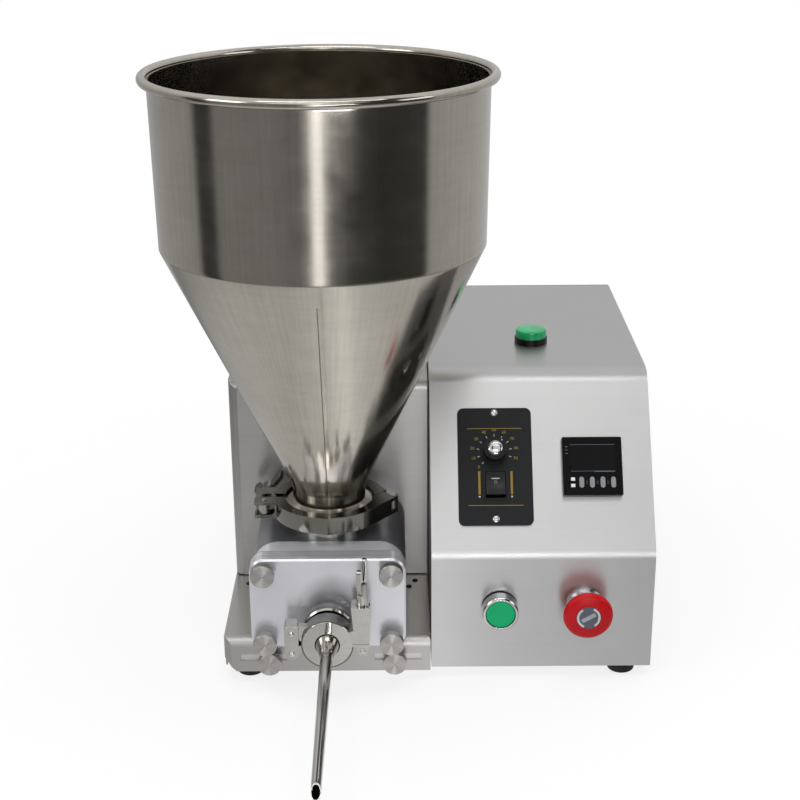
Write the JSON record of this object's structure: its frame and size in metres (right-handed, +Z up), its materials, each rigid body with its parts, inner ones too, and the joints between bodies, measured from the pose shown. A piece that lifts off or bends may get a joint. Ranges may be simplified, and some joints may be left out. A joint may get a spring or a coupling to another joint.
{
  "type": "gear pump filling machine",
  "caption": "Counter-top filler: a cone hopper feeds a two-rotor gear pump with a long thin nozzle, beside a sloped control cabinet with dial, timer and buttons.",
  "frame": {"origin": "middle of the whole machine's footprint, on the counter under its feet", "axes": "+X to the operator's right, +Y away from the operator, +Z up; the nozzle points along -Y"},
  "size_m": [0.3953, 0.5856, 0.4877],
  "materials": {
    "bearing_bronze": "sintered bronze",
    "black_plastic": "moulded",
    "black_plate": "printed plate",
    "black_rubber": "moulded",
    "bright_steel": "turned",
    "brushed_sheet": "brushed stainless sheet",
    "cast_gearhead": "die cast",
    "clamp_steel": "cast stainless",
    "dark_window": "smoked window",
    "green_lens": "translucent lens",
    "green_plastic": "moulded",
    "grey_plastic": "moulded",
    "grey_pump_body": "dark grey hard anodised",
    "hopper_steel": "satin stainless, spun",
    "hub_aluminium": "machined",
    "motor_paint": "black paint",
    "pan_steel": "plain sheet",
    "polished_steel": "polished stainless",
    "red_plastic": "moulded",
    "red_spider": "moulded",
    "rotor_steel": "ground",
    "satin_aluminium": "satin",
    "silicone": "moulded",
    "turned_steel": "turned stainless",
    "white_plastic": "moulded"
  },
  "bodies": {
    "machine": {"floor_pans": "pan_steel", "rubber_feet": "black_rubber", "base_tray": "brushed_sheet", "drive_housing": "brushed_sheet", "control_cabinet": "brushed_sheet", "drive_rear_cover": "brushed_sheet", "cabinet_rear_cover": "brushed_sheet", "power_inlet": "black_plastic", "pump_body": "grey_pump_body", "bearing_plate": "satin_aluminium", "front_cover": "satin_aluminium", "pump_ferrules": "polished_steel", "cover_studs": "bright_steel", "pump_foot": "pan_steel", "shaft_bushes": "bearing_bronze", "shaft_seal": "black_rubber", "gearhead": "cast_gearhead", "drive_motor": "motor_paint", "motor_bracket": "pan_steel", "hopper": "hopper_steel", "gaskets": "silicone", "hopper_clamp_front": "clamp_steel", "hopper_clamp_rear": "clamp_steel", "nozzle_clamp_upper": "clamp_steel", "nozzle_clamp_lower": "clamp_steel", "clamp_hinges": "clamp_steel", "swing_bolts": "bright_steel", "nozzle": "polished_steel", "controller_plate": "black_plate", "controller_case": "black_plastic", "timer_case": "black_plastic", "timer_window": "dark_window", "start_bezel": "bright_steel", "stop_collar": "bright_steel", "signal_lamp": "green_lens"},
    "drive_line": {"drive_shafts": "bright_steel", "drive_rotor": "rotor_steel", "coupling_hubs": "hub_aluminium", "coupling_spider": "red_spider"},
    "idler": {"idler_shaft": "bright_steel", "idler_rotor": "rotor_steel"},
    "speed_knob": {"speed_knob": "black_plastic"},
    "run_rocker": {"run_rocker": "black_plastic"},
    "timer_key_1": {"timer_key_1": "grey_plastic"},
    "timer_key_2": {"timer_key_2": "grey_plastic"},
    "timer_key_3": {"timer_key_3": "grey_plastic"},
    "timer_key_4": {"timer_key_4": "grey_plastic"},
    "timer_button_1": {"timer_button_1": "white_plastic"},
    "timer_button_2": {"timer_button_2": "white_plastic"},
    "start_button": {"start_button": "green_plastic"},
    "stop_stem": {"stop_stem": "bright_steel"},
    "stop_head": {"stop_head": "red_plastic"},
    "cover_nut_1": {"cover_nut_1": "turned_steel"},
    "cover_nut_2": {"cover_nut_2": "turned_steel"},
    "cover_nut_3": {"cover_nut_3": "turned_steel"},
    "cover_nut_4": {"cover_nut_4": "turned_steel"},
    "lock_nut_1": {"lock_nut_1": "turned_steel"},
    "lock_nut_2": {"lock_nut_2": "turned_steel"},
    "hopper_wing_nut": {"hopper_wing_nut": "clamp_steel"},
    "nozzle_wing_nut": {"nozzle_wing_nut": "clamp_steel"}
  },
  "joints": [
    {"name": "pump_drive", "type": "hinge", "parent": "machine", "child": "drive_line", "pos_m": [-0.0856, 0.05225, 0.0785], "axis": [0, 1, 0], "continuous": true},
    {"name": "pump_idler", "type": "hinge", "parent": "machine", "child": "idler", "pos_m": [-0.0416, 0.01225, 0.0785], "axis": [0, 1, 0], "continuous": true},
    {"name": "speed_knob_turn", "type": "hinge", "parent": "machine", "child": "speed_knob", "pos_m": [0.0705, -0.00309, 0.18275], "axis": [0, -0.8093, 0.5874], "range_deg": [-140, 140]},
    {"name": "run_rocker_tilt", "type": "hinge", "parent": "machine", "child": "run_rocker", "pos_m": [0.0709, -0.01255, 0.15576], "axis": [1, 0, 0], "range_deg": [0, 16]},
    {"name": "timer_key_1_tilt", "type": "hinge", "parent": "machine", "child": "timer_key_1", "pos_m": [0.1397, -0.0177, 0.16024], "axis": [1, 0, 0], "range_deg": [-4, 4], "stiffness_Nm_per_rad": 0.02},
    {"name": "timer_key_2_tilt", "type": "hinge", "parent": "machine", "child": "timer_key_2", "pos_m": [0.1482, -0.0177, 0.16024], "axis": [1, 0, 0], "range_deg": [-4, 4], "stiffness_Nm_per_rad": 0.02},
    {"name": "timer_key_3_tilt", "type": "hinge", "parent": "machine", "child": "timer_key_3", "pos_m": [0.1567, -0.0177, 0.16024], "axis": [1, 0, 0], "range_deg": [-4, 4], "stiffness_Nm_per_rad": 0.02},
    {"name": "timer_key_4_tilt", "type": "hinge", "parent": "machine", "child": "timer_key_4", "pos_m": [0.1652, -0.0177, 0.16024], "axis": [1, 0, 0], "range_deg": [-4, 4], "stiffness_Nm_per_rad": 0.02},
    {"name": "timer_button_1_push", "type": "slide", "parent": "machine", "child": "timer_button_1", "axis": [0, 0.8093, -0.5874], "range_m": [0, 0.0005], "stiffness_N_per_m": 800, "springref_m": -0.0005},
    {"name": "timer_button_2_push", "type": "slide", "parent": "machine", "child": "timer_button_2", "axis": [0, 0.8093, -0.5874], "range_m": [0, 0.0005], "stiffness_N_per_m": 800, "springref_m": -0.0005},
    {"name": "start_push", "type": "slide", "parent": "machine", "child": "start_button", "axis": [0, 1, 0], "range_m": [0, 0.003], "stiffness_N_per_m": 700, "springref_m": -0.002},
    {"name": "stop_push", "type": "slide", "parent": "machine", "child": "stop_stem", "axis": [0, 1, 0], "range_m": [0, 0.0045]},
    {"name": "stop_twist", "type": "hinge", "parent": "stop_stem", "child": "stop_head", "pos_m": [0.1427, -0.06775, 0.067], "axis": [0, -1, 0], "range_deg": [-45, 0], "stiffness_Nm_per_rad": 0.03},
    {"name": "cover_nut_1_turn", "type": "hinge", "parent": "machine", "child": "cover_nut_1", "pos_m": [-0.1138, -0.07275, 0.1088], "axis": [0, -1, 0], "continuous": true},
    {"name": "cover_nut_2_turn", "type": "hinge", "parent": "machine", "child": "cover_nut_2", "pos_m": [-0.0134, -0.07275, 0.1088], "axis": [0, -1, 0], "continuous": true},
    {"name": "cover_nut_3_turn", "type": "hinge", "parent": "machine", "child": "cover_nut_3", "pos_m": [-0.1138, -0.07275, 0.0482], "axis": [0, -1, 0], "continuous": true},
    {"name": "cover_nut_4_turn", "type": "hinge", "parent": "machine", "child": "cover_nut_4", "pos_m": [-0.0134, -0.07275, 0.0482], "axis": [0, -1, 0], "continuous": true},
    {"name": "lock_nut_1_turn", "type": "hinge", "parent": "machine", "child": "lock_nut_1", "pos_m": [-0.1119, -0.05975, 0.0228], "axis": [0, -1, 0], "continuous": true},
    {"name": "lock_nut_2_turn", "type": "hinge", "parent": "machine", "child": "lock_nut_2", "pos_m": [-0.0111, -0.05975, 0.0228], "axis": [0, -1, 0], "continuous": true},
    {"name": "hopper_wing_nut_turn", "type": "hinge", "parent": "machine", "child": "hopper_wing_nut", "pos_m": [-0.1163, 0.01585, 0.1365], "axis": [0, 1, 0], "continuous": true},
    {"name": "nozzle_wing_nut_turn", "type": "hinge", "parent": "machine", "child": "nozzle_wing_nut", "pos_m": [-0.036, -0.08475, 0.088], "axis": [0, 0, 1], "continuous": true}
  ],
  "couplings": [
    {"joint": "pump_idler", "follows": "pump_drive", "ratio": -1}
  ]
}
